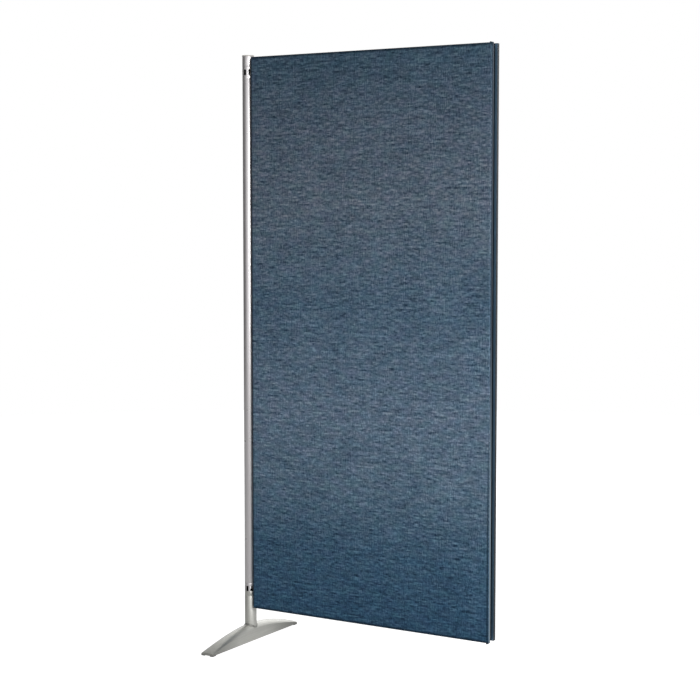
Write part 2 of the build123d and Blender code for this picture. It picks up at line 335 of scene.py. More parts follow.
def foot_form(name):
    """Solid form of the foot: domed across, arched along."""
    ridge = arch(0)
    top = foot_low.z + ridge
    start()
    bpy.ops.mesh.primitive_cube_add(size=1, location=(post_x, 0, foot_low.z + ridge / 2),
                                    scale=(2 * foot_half_width, 2 * foot_half_length, ridge))
    piece = named(name)
    edit(piece)
    offsets = spaced(foot_half_width, DOME_STEPS)
    stations = spaced(foot_half_length, FOOT_STEPS)
    for offset in offsets[1:-1]:
        cut((post_x + offset, 0, 0), (1, 0, 0))
    for station in stations[1:-1]:
        cut((post_x, station, 0), (0, 1, 0))
    for offset in offsets:
        pick(piece, "VERT",
             lambda vert: vert.co.z > top - CLOSE and abs(vert.co.x - post_x - offset) < CLOSE)
        bpy.ops.transform.translate(value=(0, 0, -dome_drop(offset)))
    for station in stations:
        pick(piece, "VERT", lambda vert: abs(vert.co.y - station) < CLOSE)
        bpy.ops.transform.resize(value=(1, 1, arch(station / foot_half_length) / ridge),
                                 center_override=(post_x, station, foot_low.z))
    close()
    return piece


def from_axis(place):
    """Distance from the post's axis."""
    return math.hypot(place.x - post_x, place.y)


def is_inside_stem(place):
    """Whether a face belongs to the pocket that the stem's hole left."""
    return from_axis(place) < post_radius + STEM_HOLE_CLEARANCE + CLOSE


def foot_shell():
    """Pressed shell, open below, with the hole that the stem stands in."""
    piece = foot_form("arched_foot")
    start()
    bpy.ops.mesh.primitive_cylinder_add(vertices=ROUND_STEPS, radius=post_radius + STEM_HOLE_CLEARANCE,
                                        depth=STEM_HOLE_DEPTH_SHARE * foot_high.z,
                                        location=(post_x, 0, STEM_HOLE_MIDDLE_SHARE * foot_high.z))
    hole = named("stem_hole")
    apply_modifier(piece, "BOOLEAN", operation="DIFFERENCE", object=hole, solver="EXACT")
    bpy.data.objects.remove(hole)
    edit(piece)
    pick(piece, "FACE", lambda face: is_inside_stem(middle(face)) or face.normal.z < -FOOT_SOLE_FACING)
    bpy.ops.mesh.delete(type="FACE")
    close()
    weld = stem_weld(piece)
    thicken(piece, FOOT_WALL)
    soften(piece, FOOT_EDGE, angle=FOOT_EDGE_ANGLE, segments=ROUND_SEGMENTS)
    return piece, weld


def stem_weld(shell):
    """Convex weld bead that follows the dome round the stem.

    The dome drops with the square of the distance, so each wider ring is stretched in height as well.
    """
    edit(shell)
    rim = post_radius + STEM_HOLE_CLEARANCE
    pick(shell, "EDGE", lambda edge: edge.is_boundary and from_axis(middle(edge)) < rim + CLOSE)
    bpy.ops.mesh.duplicate()
    bpy.ops.mesh.separate(type="SELECTED")
    close()
    piece = next(other for other in bpy.context.selected_objects if other != shell)
    piece.name = "stem_weld"
    piece.data.name = "stem_weld"
    edit(piece)
    ridge = Vector((post_x, 0, foot_high.z))
    radius, height = rim, WELD_HEIGHT
    bpy.ops.transform.translate(value=(0, 0, height))
    for step in range(1, WELD_STEPS + 1):
        turn = math.pi / 2 * step / WELD_STEPS
        wider = (rim + WELD_WIDTH * math.sin(turn)) / radius
        lower = WELD_HEIGHT * math.cos(turn) - height
        bpy.ops.mesh.extrude_edges_move()
        bpy.ops.transform.resize(value=(wider, wider, wider ** 2), center_override=ridge)
        bpy.ops.transform.translate(value=(0, 0, lower))
        radius *= wider
        height += lower
    close()
    return piece


# Panel

def cover(name, side):
    """Fabric stretched over one face, round its edges and into the groove of the top and bottom."""
    outer = panel_low.y if side < 0 else panel_high.y
    size = panel_high - panel_low
    centre = (panel_low + panel_high) / 2
    start()
    bpy.ops.mesh.primitive_cube_add(size=1, location=(centre.x, outer / 2, centre.z),
                                    scale=(size.x, abs(outer), size.z))
    piece = named(name)
    edit(piece)
    pick(piece, "EDGE", lambda edge: abs(abs(middle(edge).y) - abs(outer)) < CLOSE)
    bpy.ops.mesh.bevel(offset=COVER_EDGE, segments=COVER_EDGE_SEGMENTS, affect="EDGES")
    for column in range(1, COVER_COLUMNS):
        cut((panel_low.x + size.x * column / COVER_COLUMNS, 0, 0), (1, 0, 0))
    for row in range(1, COVER_ROWS):
        cut((0, 0, panel_low.z + size.z * row / COVER_ROWS), (0, 0, 1))
    for end_x, inwards in ((panel_low.x, 1), (panel_high.x, -1)):
        cut((end_x + inwards * GROOVE_DEPTH, 0, 0), (1, 0, 0))
        cut((end_x + inwards * HEM_END, 0, 0), (1, 0, 0))
    for y in (CORE_HALF, GROOVE_HALF, SPLINE_HALF):
        cut((0, side * y, 0), (0, 1, 0))
    pick(piece, "FACE", lambda face: is_open(middle(face)))
    bpy.ops.mesh.delete(type="FACE")
    for z, down in ((panel_high.z, -HEM_DEPTH), (panel_low.z, HEM_DEPTH)):
        pick(piece, "EDGE", lambda edge: is_hem(edge, z))
        bpy.ops.mesh.extrude_edges_move(TRANSFORM_OT_translate={"value": (0, 0, down)})
    close()
    clean(piece)
    return piece


def end_depth(place):
    """How far a place lies inside the nearer end of the panel."""
    return min(place.x - panel_low.x, panel_high.x - place.x)


def is_open(place):
    """Whether the cover leaves a place bare: the inner face, the ends inside the lips, and the grooves."""
    depth = end_depth(place)
    reach = abs(place.y)
    if reach < SPLINE_HALF:
        return True
    if depth < CLOSE and reach < CORE_HALF:
        return True
    return depth < GROOVE_DEPTH and reach < GROOVE_HALF


def is_hem(edge, z):
    """Whether an edge is where the cover turns into the groove of the top or bottom."""
    place = middle(edge)
    level = all(abs(vert.co.z - z) < CLOSE for vert in edge.verts)
    along = abs(edge.verts[0].co.y - edge.verts[1].co.y) < CLOSE
    return level and along and abs(abs(place.y) - SPLINE_HALF) < CLOSE and end_depth(place) > HEM_END


def lay_weave(piece):
    """UV map in metres, as the cloth lies: its threads run on round the edges."""
    layer = piece.data.uv_layers.new(name="weave")
    for face in piece.data.polygons:
        normal = face.normal
        for index in face.loop_indices:
            place = piece.data.vertices[piece.data.loops[index].vertex_index].co
            if abs(normal.x) > TURNED_FACING:
                layer.data[index].uv = (place.x + place.y, place.z)
            elif abs(normal.z) > TURNED_FACING:
                layer.data[index].uv = (place.x, place.z + place.y)
            else:
                layer.data[index].uv = (place.x, place.z)


def edge_profile(name, node):
    """Extruded channel with a lip on each side, softened along its edges."""
    low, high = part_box(node)
    left = abs(low.x - panel_low.x) < CLOSE
    face_x = low.x if left else high.x
    inwards = 1 if left else -1
    start()
    bpy.ops.mesh.primitive_plane_add(size=1, location=((low.x + high.x) / 2, 0, low.z))
    bpy.context.object.scale = (high.x - low.x, high.y - low.y, 1)
    piece = named(name)
    edit(piece)
    wall_half = GROOVE_HALF + PROFILE_WALL
    for y in (-wall_half, -GROOVE_HALF, GROOVE_HALF, wall_half):
        cut((0, y, 0), (0, 1, 0))
    for depth in (PROFILE_WALL, GROOVE_DEPTH):
        cut((face_x + inwards * depth, 0, 0), (1, 0, 0))
    pick(piece, "FACE", lambda face: is_off_profile(abs(middle(face).x - face_x), abs(middle(face).y)))
    bpy.ops.mesh.delete(type="FACE")
    bpy.ops.mesh.select_all(action="SELECT")
    bpy.ops.mesh.extrude_region_move(TRANSFORM_OT_translate={"value": (0, 0, high.z - low.z)})
    bpy.ops.mesh.select_all(action="SELECT")
    bpy.ops.mesh.normals_make_consistent(inside=False)
    close()
    soften(piece, PROFILE_EDGE)
    return piece


def is_off_profile(depth, reach):
    """Whether a place of the cross-section is air."""
    in_lip = depth < PROFILE_WALL and reach > GROOVE_HALF
    in_wall = GROOVE_HALF < reach < GROOVE_HALF + PROFILE_WALL
    in_floor = depth > GROOVE_DEPTH and reach < GROOVE_HALF + PROFILE_WALL
    return not (in_lip or in_wall or in_floor)


# Shader nodes

def shade(red, green, blue):
    """Colour as it shows on a screen, from 0 to 255, as the render wants it."""
    def linear(value):
        value /= 255
        return value / 12.92 if value <= 0.04045 else ((value + 0.055) / 1.055) ** 2.4
    return (linear(red), linear(green), linear(blue), 1)


def feed(tree, node, values):
    """Give a node's inputs their values, as links or as numbers."""
    for socket, value in values.items():
        if isinstance(value, bpy.types.NodeSocket):
            tree.links.new(value, node.inputs[socket])
        else:
            node.inputs[socket].default_value = value


def add(tree, kind, values=None, **settings):
    """Node of a kind, with its settings and the values of its inputs."""
    node = tree.nodes.new("ShaderNode" + kind)
    for name, value in settings.items():
        setattr(node, name, value)
    feed(tree, node, values or {})
    return node


def calc(tree, operation, *terms):
    """Result of a sum on one to three terms."""
    return add(tree, "Math", dict(enumerate(terms)), operation=operation).outputs[0]


def axes(tree, vector):
    """The X, Y and Z of a vector."""
    return add(tree, "SeparateXYZ", {"Vector": vector}).outputs


def spread(tree, value, low, high, to_low=0.0, to_high=1.0):
    """Value mapped from one range to another, and kept inside it."""
    values = {"Value": value, "From Min": low, "From Max": high, "To Min": to_low, "To Max": to_high}
    return add(tree, "MapRange", values).outputs["Result"]


def noise(tree, vector, scale=1.0, detail=2.0):
    """Noise from 0 to 1."""
    return add(tree, "TexNoise", {"Vector": vector, "Scale": scale, "Detail": detail}).outputs["Fac"]


def stretched(tree, vector, scale):
    """Coordinates with a scale of their own along each axis."""
    return add(tree, "Mapping", {"Vector": vector, "Scale": scale}).outputs["Vector"]


def joined(tree, x, y):
    """Vector of two values."""
    return add(tree, "CombineXYZ", {"X": x, "Y": y}).outputs["Vector"]


def blend(tree, factor, first, second):
    """Mix of two colours."""
    return add(tree, "Mix", {"Factor": factor, 6: first, 7: second}, data_type="RGBA").outputs[2]


def toned(tree, colour, tone):
    """Colour multiplied by a tone."""
    node = add(tree, "Mix", {"Factor": 1.0, 6: colour, 7: tone}, data_type="RGBA", blend_type="MULTIPLY")
    return node.outputs[2]


def ramp(tree, value, stops):
    """Colour ramp with the given places and colours."""
    node = add(tree, "ValToRGB", {"Fac": value})
    elements = node.color_ramp.elements
    elements[0].position, elements[0].color = stops[0]
    elements[1].position, elements[1].color = stops[-1]
    for place, colour in stops[1:-1]:
        element = elements.new(place)
        element.color = colour
    return node.outputs["Color"]


def weighted(tree, terms):
    """Middle tone plus the weighted swing of each noise about its own middle."""
    total = 0.5
    for value, weight in terms:
        total = calc(tree, "MULTIPLY_ADD", calc(tree, "SUBTRACT", value, 0.5), weight, total)
    return total


def to_nearer_end(tree, spot, axis, low, high):
    """How far a point lies inside the nearer of two ends along an axis."""
    return calc(tree, "MINIMUM", calc(tree, "SUBTRACT", spot[axis], low),
                calc(tree, "SUBTRACT", high, spot[axis]))


# Node groups

YARN_STEP = 7.31
NEIGHBOUR_CONTRAST = 0.4
SPECKLE_SCALE = 900.0
SMUDGE_SCALE = 14.0


def new_group(name, inputs, outputs):
    """Empty node group with named inputs and outputs."""
    tree = bpy.data.node_groups.new(name, "ShaderNodeTree")
    for label, kind, value in inputs:
        socket = tree.interface.new_socket(label, in_out="INPUT", socket_type="NodeSocket" + kind)
        if value is not None:
            socket.default_value = value
    for label, kind in outputs:
        tree.interface.new_socket(label, in_out="OUTPUT", socket_type="NodeSocket" + kind)
    return tree, tree.nodes.new("NodeGroupInput").outputs, tree.nodes.new("NodeGroupOutput")


def place_group(tree, group, values):
    """Node group placed in a material."""
    node = tree.nodes.new("ShaderNodeGroup")
    node.node_tree = group
    feed(tree, node, values)
    return node.outputs


def slub_group():
    """Thick and thin places of the yarns that run along X: one noise for each yarn."""
    tree, given, result = new_group(
        "slub yarns",
        [("Vector", "Vector", None), ("Yarn Pitch", "Float", 0.003), ("Slub Length", "Float", 0.02)],
        [("Slub", "Float")])
    place = axes(tree, given["Vector"])
    yarn = calc(tree, "FLOOR", calc(tree, "DIVIDE", place["Y"], given["Yarn Pitch"]))
    along = calc(tree, "DIVIDE", place["X"], given["Slub Length"])
    own = noise(tree, joined(tree, along, calc(tree, "MULTIPLY", yarn, YARN_STEP)), detail=1.0)
    next_yarn = calc(tree, "MULTIPLY", calc(tree, "ADD", yarn, 1.0), YARN_STEP)
    beside = noise(tree, joined(tree, along, next_yarn), detail=1.0)
    contrast = calc(tree, "MULTIPLY_ADD", calc(tree, "SUBTRACT", 0.5, beside), NEIGHBOUR_CONTRAST, own)
    tree.links.new(contrast, result.inputs["Slub"])
    return tree


def weave_group():
    """Relief of a plain weave: each thread passes over and under the threads that cross it."""
    tree, given, result = new_group(
        "plain weave",
        [("Vector", "Vector", None), ("Thread Pitch", "Float", 0.0015)],
        [("Height", "Float"), ("Thread", "Float")])
    place = axes(tree, given["Vector"])
    across = calc(tree, "DIVIDE", place["X"], given["Thread Pitch"])
    up = calc(tree, "DIVIDE", place["Y"], given["Thread Pitch"])
    column = calc(tree, "FLOOR", across)
    row = calc(tree, "FLOOR", up)
    weft_over = calc(tree, "PINGPONG", calc(tree, "ADD", row, column), 1.0)
    weft = calc(tree, "SINE", calc(tree, "MULTIPLY", calc(tree, "FRACT", up), math.pi))
    warp = calc(tree, "SINE", calc(tree, "MULTIPLY", calc(tree, "FRACT", across), math.pi))
    under = calc(tree, "SUBTRACT", 1.0, weft_over)
    relief = calc(tree, "MULTIPLY_ADD", weft, weft_over, calc(tree, "MULTIPLY", warp, under))
    tree.links.new(relief, result.inputs["Height"])
    cell = joined(tree, calc(tree, "MULTIPLY", column, YARN_STEP), calc(tree, "MULTIPLY", row, YARN_STEP))
    tree.links.new(noise(tree, cell, detail=0.0), result.inputs["Thread"])
    return tree


def grain_group():
    """Fine speckle, long streaks and faint smudges of a surface."""
    tree, given, result = new_group(
        "surface grain",
        [("Vector", "Vector", None), ("Speckle Scale", "Float", SPECKLE_SCALE),
         ("Streak Scale", "Vector", (1, 1, 1))],
        [("Speckle", "Float"), ("Streak", "Float"), ("Smudge", "Float")])
    place = given["Vector"]
    streaked = add(tree, "VectorMath", {0: place, 1: given["Streak Scale"]}, operation="MULTIPLY")
    tree.links.new(noise(tree, place, given["Speckle Scale"], 1.0), result.inputs["Speckle"])
    tree.links.new(noise(tree, streaked.outputs["Vector"], detail=3.0), result.inputs["Streak"])
    tree.links.new(noise(tree, place, SMUDGE_SCALE, 3.0), result.inputs["Smudge"])
    return tree


SLUBS = slub_group()
WEAVE = weave_group()
GRAIN = grain_group()


def material(name):
    """New material: its tree, its shader and the place of each point on the object."""
    made = bpy.data.materials.new(name)
    made.use_nodes = True
    tree = made.node_tree
    shader = next(node for node in tree.nodes if node.type == "BSDF_PRINCIPLED")
    place = add(tree, "TexCoord").outputs["Object"]
    return made, tree, shader, place


def bump(tree, shader, height, strength, distance):
    """Relief on a material."""
    node = add(tree, "Bump", {"Height": height, "Strength": strength, "Distance": distance})
    tree.links.new(node.outputs["Normal"], shader.inputs["Normal"])


# Cloth

THREAD_PITCH = 1.5 * MM

# Slubs of the yarns, each with its threads, its length and its weight
LEVEL_SLUBS = [(2, 16 * MM, 0.6), (3, 13 * MM, 0.65), (3, 45 * MM, 0.5), (5, 20 * MM, 0.7),
               (4, 110 * MM, 0.35)]
UPRIGHT_SLUBS = [(2, 12 * MM, 0.6), (2, 70 * MM, 0.35)]
THREAD_WEIGHT = 0.35
PATCH_SCALE = (9, 14, 1)
PATCH_WEIGHT = 0.2
DARK_DASH = (4, 34 * MM)
DARK_DASH_RANGE = (0.62, 0.9)
DARK_DASH_WEIGHT = -0.36
HEATHER = [(0.05, shade(40, 59, 78)), (0.5, shade(88, 108, 127)), (0.95, shade(134, 152, 168))]
CLOTH_ROUGHNESS = 0.92
CLOTH_SPECULAR = 0.08
CLOTH_SHEEN = 0.04
CLOTH_SHEEN_ROUGHNESS = 0.5
HEATHER_RELIEF = 1.5
CLOTH_RELIEF = (0.4, 0.4 * MM)

# Painted light from the panel's foot to its top, lighter at mid height; and drifts of the dye, each as scales
# and two tones
CLOTH_PAINTED_LIGHT = [(0.0, (0.28, 0.48, 0.61, 1)), (0.13, (0.42, 0.6, 0.7, 1)), (0.24, (0.81, 0.88, 0.9, 1)),
               (0.37, (0.98, 0.97, 0.98, 1)), (0.56, (0.63, 0.71, 0.75, 1)), (0.74, (0.82, 0.75, 0.72, 1)),
               (0.88, (0.63, 0.6, 0.6, 1)), (1.0, (0.35, 0.44, 0.47, 1))]
WARM_DRIFT = ((26, 38, 1), (0.93, 1.015, 1, 1), (1.07, 0.985, 1, 1))
BLUE_DRIFT = ((38, 24, 1), (1, 1, 0.96, 1), (1, 1, 1.04, 1))
DRIFT_STOPS = (0.35, 0.65)

# Painted shade along the panel's edges, where the cloth turns over them
EDGE_SHADE_BAND = 7 * MM
EDGE_SHADE_CORE = 3 * MM
EDGE_SHADE_DEPTH = 0.7
EDGE_SHADE_TONE = shade(4, 20, 32)
END_BAND_MORE = 2 * MM
# Heights over which the front lip's painted light fades out upwards
LIP_LIGHT_FADE = (0.95, 0.45)
TURN_FADE = (1 * MM, 2.5 * MM)


def painted_edge_shade(tree, place):
    """How far a point lies into the painted shade where the cloth turns over the panel's edge.

    The front of the free end has no such band higher up, nor on the part that is turned round the end.
    """
    spot = axes(tree, place)
    front = spread(tree, spot["Y"], MM, -MM)
    turned = spread(tree, spot["Y"], *(panel_low.y + reach for reach in TURN_FADE))
    high_up = spread(tree, spot["Z"], *reversed(LIP_LIGHT_FADE))
    plain = calc(tree, "MAXIMUM", calc(tree, "MULTIPLY", front, turned),
                 calc(tree, "MULTIPLY", front, high_up))
    to_free = calc(tree, "MULTIPLY_ADD", plain, EDGE_SHADE_BAND, calc(tree, "SUBTRACT", panel_high.x, spot["X"]))
    to_side = calc(tree, "MINIMUM", to_free, calc(tree, "SUBTRACT", spot["X"], panel_low.x))
    to_end = to_nearer_end(tree, spot, "Z", panel_low.z, panel_high.z)
    depth = calc(tree, "MINIMUM", to_side, calc(tree, "SUBTRACT", to_end, END_BAND_MORE))
    return spread(tree, depth, EDGE_SHADE_BAND, EDGE_SHADE_CORE)


def drift(tree, vector, scale, low, high):
    """Change of dye between two tones, in patches."""
    return ramp(tree, noise(tree, stretched(tree, vector, scale)), list(zip(DRIFT_STOPS, (low, high))))


def cover_cloth():
    """Heathered slate-blue cloth, with painted light along its height and painted shade where it turns over
    the edges.
    """
    made, tree, shader, place = material("slate blue cloth")
    thread = add(tree, "UVMap", uv_map="weave").outputs["UV"]
    swap = axes(tree, thread)
    upright = joined(tree, swap["Y"], swap["X"])

    def slub(vector, threads, length):
        values = {"Vector": vector, "Yarn Pitch": threads * THREAD_PITCH, "Slub Length": length}
        return place_group(tree, SLUBS, values)["Slub"]

    weave = place_group(tree, WEAVE, {"Vector": thread, "Thread Pitch": THREAD_PITCH})
    dark_dash = spread(tree, slub(thread, *DARK_DASH), *DARK_DASH_RANGE)
    patch = noise(tree, stretched(tree, thread, PATCH_SCALE))
    terms = [(slub(thread, threads, length), weight) for threads, length, weight in LEVEL_SLUBS]
    terms += [(slub(upright, threads, length), weight) for threads, length, weight in UPRIGHT_SLUBS]
    terms += [(weave["Thread"], THREAD_WEIGHT), (patch, PATCH_WEIGHT)]
    value = calc(tree, "MULTIPLY_ADD", dark_dash, DARK_DASH_WEIGHT, weighted(tree, terms))
    # Painted light: tone along the height, lightest a third of the way up and darker towards the foot and the
    # top
    up = spread(tree, axes(tree, place)["Z"], panel_low.z, panel_high.z)
    colour = toned(tree, ramp(tree, value, HEATHER), ramp(tree, up, CLOTH_PAINTED_LIGHT))
    colour = toned(tree, colour, drift(tree, thread, *WARM_DRIFT))
    colour = toned(tree, colour, drift(tree, upright, *BLUE_DRIFT))
    # Painted shade: the cloth darkens towards the shade tone along the panel's edges
    colour = blend(tree, calc(tree, "MULTIPLY", painted_edge_shade(tree, place), EDGE_SHADE_DEPTH), colour, EDGE_SHADE_TONE)
    tree.links.new(colour, shader.inputs["Base Color"])
    shader.inputs["Roughness"].default_value = CLOTH_ROUGHNESS
    shader.inputs["Specular IOR Level"].default_value = CLOTH_SPECULAR
    shader.inputs["Sheen Weight"].default_value = CLOTH_SHEEN
    shader.inputs["Sheen Roughness"].default_value = CLOTH_SHEEN_ROUGHNESS
    height = calc(tree, "MULTIPLY_ADD", value, HEATHER_RELIEF, weave["Height"])
    bump(tree, shader, height, *CLOTH_RELIEF)
    return made


# Metal, plastic and wood

SPECKLE_WEIGHT = 0.4
STREAK_WEIGHT = 0.9
METAL_STOPS = (0.2, 0.8)
METAL_RELIEF = (0.06, 0.1 * MM)
GRAIN_STOPS = (0.3, 0.7)
POLISHED_LESS = 0.04
POLISHED_MORE = 0.06
PLASTIC_STREAKS = (40, 40, 40)
PLASTIC_SPECKLE = 1500.0
PLASTIC_RELIEF = (0.15, 0.2 * MM)
WOOD_SPECKLE = 600.0
WOOD_ROUGHNESS = 0.7
WOOD_RELIEF = (0.2, 0.3 * MM)
UPRIGHT_STREAKS = (900, 900, 6)
ALONG_FOOT_STREAKS = (500, 8, 500)

# Tones that change over one piece: painted shade, painted light, and the paint below the lower windows
# Painted shade over the bore and the windows' cut faces
BORE_SHADE_TONE = shade(34, 32, 30)
BORE_FADE_SHARES = (0.95, 0.75)
PAINT_TONE = shade(180, 180, 175)
PAINT_EDGE = 0.6 * MM
# Painted shade towards both of the foot's tips
FOOT_TIP_FADE_SHARE = 0.4
FOOT_TIP_SHADE_TONE = (0.62, 0.62, 0.61, 1)
# Painted light on the front lip low down; painted shade on the back lip and further into the groove
LOW_LIP_LIGHT_TONE = shade(114, 134, 148)
CHANNEL_SHADE_TONE = shade(6, 12, 18)
GROOVE_TONE = shade(80, 108, 130)
GROOVE_SIDE_SHARES = (1.03, 1.01)
GROOVE_SHADE_SHARES = (0.4, 0.6)


def metal(name, light, dark, roughness, metallic, streaks, also=None):
    """Metal or metallic paint with streaks, speckle and faint smudges; also changes its colour further."""
    made, tree, shader, place = material(name)
    values = {"Vector": place, "Streak Scale": streaks, "Speckle Scale": SPECKLE_SCALE}
    marks = place_group(tree, GRAIN, values)
    tone = weighted(tree, [(marks["Speckle"], SPECKLE_WEIGHT), (marks["Streak"], STREAK_WEIGHT)])
    colour = ramp(tree, tone, list(zip(METAL_STOPS, (dark, light))))
    if also:
        colour = also(tree, place, colour)
    tree.links.new(colour, shader.inputs["Base Color"])
    polish = spread(tree, marks["Smudge"], *GRAIN_STOPS, roughness - POLISHED_LESS, roughness + POLISHED_MORE)
    tree.links.new(polish, shader.inputs["Roughness"])
    shader.inputs["Metallic"].default_value = metallic
    bump(tree, shader, calc(tree, "ADD", marks["Speckle"], marks["Streak"]), *METAL_RELIEF)
    return made


def painted_bore_shade(tree, place, colour):
    """The post's finish, with painted shade over its bore and most of the cut faces of its windows."""
    from_post = add(tree, "VectorMath", {0: place, 1: (post_x, 0, 0)}, operation="SUBTRACT").outputs["Vector"]
    flat = add(tree, "VectorMath", {0: from_post, 1: (1, 1, 0)}, operation="MULTIPLY").outputs["Vector"]
    away = add(tree, "VectorMath", {0: flat}, operation="LENGTH").outputs["Value"]
    bore = post_radius - POST_WALL
    # Painted shade: dark from three quarters of the way into the wall and over the bore
    inside = spread(tree, away, *(bore + share * POST_WALL for share in BORE_FADE_SHARES))
    return blend(tree, inside, colour, BORE_SHADE_TONE)


def foot_painted_shade(tree, place, colour):
    """Grey paint with painted shade towards the foot's two tips and over the stem's bore."""
    along = calc(tree, "ABSOLUTE", axes(tree, place)["Y"])
    tips = spread(tree, along, FOOT_TIP_FADE_SHARE * foot_half_length, foot_half_length)
    # Painted shade: the paint darkens towards both tips
    return toned(tree, painted_bore_shade(tree, place, colour), blend(tree, tips, (1, 1, 1, 1), FOOT_TIP_SHADE_TONE))


def painted_below_windows(tree, place, colour):
    """The post's finish down to the lower windows, and the foot's paint below them."""
    up = axes(tree, place)["Z"]
    sill = lower_collar_low.z + WINDOW_ABOVE_COLLAR_FOOT - WINDOW_HALF_HEIGHT
    return painted_bore_shade(tree, place, blend(tree, spread(tree, up, sill, sill - PAINT_EDGE), colour, PAINT_TONE))


def channel_painted_light(tree, place, colour):
    """The channels' finish: blue groove with painted shade further in, painted shade on the back lip, and
    painted light on the front lip low down.
    """
    spot = axes(tree, place)
    # Painted light: the front lip turns lighter low down
    low = calc(tree, "MULTIPLY", spread(tree, spot["Z"], *LIP_LIGHT_FADE), spread(tree, spot["Y"], MM, -MM))
    front_lip_painted_light = blend(tree, low, colour, LOW_LIP_LIGHT_TONE)
    # Painted shade: the back lip is made nearly black
    lip = blend(tree, spread(tree, spot["Y"], -MM, MM), front_lip_painted_light, CHANNEL_SHADE_TONE)
    reach = calc(tree, "ABSOLUTE", spot["Y"])
    inside = spread(tree, reach, *(share * GROOVE_HALF for share in GROOVE_SIDE_SHARES))
    to_end = to_nearer_end(tree, spot, "X", panel_low.x, panel_high.x)
    # Painted shade: the groove darkens further in from its mouth
    groove_painted_shade = spread(tree, to_end, *(share * GROOVE_DEPTH for share in GROOVE_SHADE_SHARES))
    return blend(tree, inside, lip, blend(tree, groove_painted_shade, GROOVE_TONE, CHANNEL_SHADE_TONE))


def plastic(name, light, dark, roughness):
    """Moulded plastic or rubber with a fine spark grain."""
    made, tree, shader, place = material(name)
    values = {"Vector": place, "Streak Scale": PLASTIC_STREAKS, "Speckle Scale": PLASTIC_SPECKLE}
    marks = place_group(tree, GRAIN, values)
    colour = ramp(tree, marks["Smudge"], list(zip(GRAIN_STOPS, (dark, light))))
    tree.links.new(colour, shader.inputs["Base Color"])
    shader.inputs["Roughness"].default_value = roughness
    bump(tree, shader, marks["Speckle"], *PLASTIC_RELIEF)
    return made


def timber(name, light, dark, streaks):
    """Planed wood or board with its grain."""
    made, tree, shader, place = material(name)
    values = {"Vector": place, "Streak Scale": streaks, "Speckle Scale": WOOD_SPECKLE}
    marks = place_group(tree, GRAIN, values)
    colour = ramp(tree, marks["Streak"], list(zip(GRAIN_STOPS, (dark, light))))
    tree.links.new(colour, shader.inputs["Base Color"])
    shader.inputs["Roughness"].default_value = WOOD_ROUGHNESS
    bump(tree, shader, marks["Streak"], *WOOD_RELIEF)
    return made


# Name, light and dark colour, then roughness, metallic share and streaks where the finish takes them
FINISHES = {
    "grey_paint": metal("silver grey paint", shade(194, 194, 189), shade(174, 174, 169),
                        0.44, 0.75, ALONG_FOOT_STREAKS, also=foot_painted_shade),
    "post_metal": metal("anodised post", shade(206, 203, 204), shade(190, 187, 188),
                        0.3, 0.7, UPRIGHT_STREAKS, also=painted_below_windows),
    "edge_metal": metal("anodised edge", shade(46, 66, 84), shade(38, 56, 73),
                        0.42, 0.75, UPRIGHT_STREAKS, also=channel_painted_light),
    "weld": metal("painted weld", shade(150, 150, 146), shade(124, 124, 120), 0.55, 0.6, (120, 120, 120)),
    "bare_steel": metal("zinc plated steel", shade(188, 189, 190), shade(160, 161, 163),
                        0.35, 0.9, (200, 200, 200)),
    "hook_steel": metal("dark zinc plated steel", shade(60, 60, 61), shade(44, 44, 46),
                        0.5, 0.8, (300, 300, 300)),
    "bar_paint": metal("dark blue paint", shade(30, 42, 53), shade(22, 33, 43), 0.5, 0.1, UPRIGHT_STREAKS),
    "cap_plastic": plastic("light grey plastic", shade(196, 193, 187), shade(184, 181, 175), 0.45),
    "glide_rubber": plastic("black rubber", shade(46, 46, 46), shade(34, 34, 34), 0.8),
    "spline_plastic": plastic("dark blue plastic", shade(34, 48, 62), shade(26, 38, 52), 0.6),
    "frame_wood": timber("planed softwood", shade(212, 178, 134), shade(188, 150, 104), (30, 30, 3)),
    "facing_board": timber("smooth hardboard", shade(150, 118, 84), shade(130, 100, 70), (60, 60, 60)),
    "cover_fabric": cover_cloth(),
}


# Pieces on their bodies

def dress(piece, slot):
    """Give a piece its finish."""
    piece.data.materials.clear()
    piece.data.materials.append(FINISHES[slot])


def finish_node(node, slot):
    """Give a kept node its finish."""
    if not node.material_slots:
        node.data.materials.append(FINISHES[slot])
    for entry in node.material_slots:
        entry.material = FINISHES[slot]


def settle(piece, body, slot, *nodes):
    """A new piece rides on its body and stands for its nodes."""
    dress(piece, slot)
    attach(piece, body)
    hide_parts(*nodes)


def build_post():
    """The post from the foot to its cap."""
    lengths = (("painted_stem", "foot_stem", "grey_paint"),
               ("anodised_tube", "post_tube", "post_metal"),
               ("painted_head", "head_sleeve", "post_metal"))
    collars = (("lower_window_collar", "lower_slotted_collar"),
               ("upper_window_collar", "upper_slotted_collar"))
    for name, node, slot in lengths:
        settle(post_length(name, node), "stand", slot, node)
    for name, node in collars:
        settle(slotted_collar(name, node), "stand", "post_metal", node)
    settle(post_cap(), "stand", "cap_plastic", "post_cap")


def build_foot():
    """The foot's shell and its weld."""
    shell, weld = foot_shell()
    settle(shell, "stand", "grey_paint", "foot_shell")
    apply_modifier(weld, "SOLIDIFY", thickness=WELD_WALL, offset=-1)
    smooth(WELD_SMOOTH_ANGLE)
    dress(weld, "weld")
    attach(weld, "stand")


def build_panel():
    """Covers and edge profiles."""
    covers = (("front_woven_cover", -1, "front_cover"), ("back_woven_cover", 1, "back_cover"))
    channels = (("left_lipped_channel", "left_edge_profile"), ("free_lipped_channel", "free_edge_profile"))
    for name, side, node in covers:
        piece = cover(name, side)
        lay_weave(piece)
        thicken(piece, FABRIC)
        smooth(COVER_SMOOTH_ANGLE)
        settle(piece, "panel", "cover_fabric", node)
    for name, node in channels:
        settle(edge_profile(name, node), "panel", "edge_metal", node)


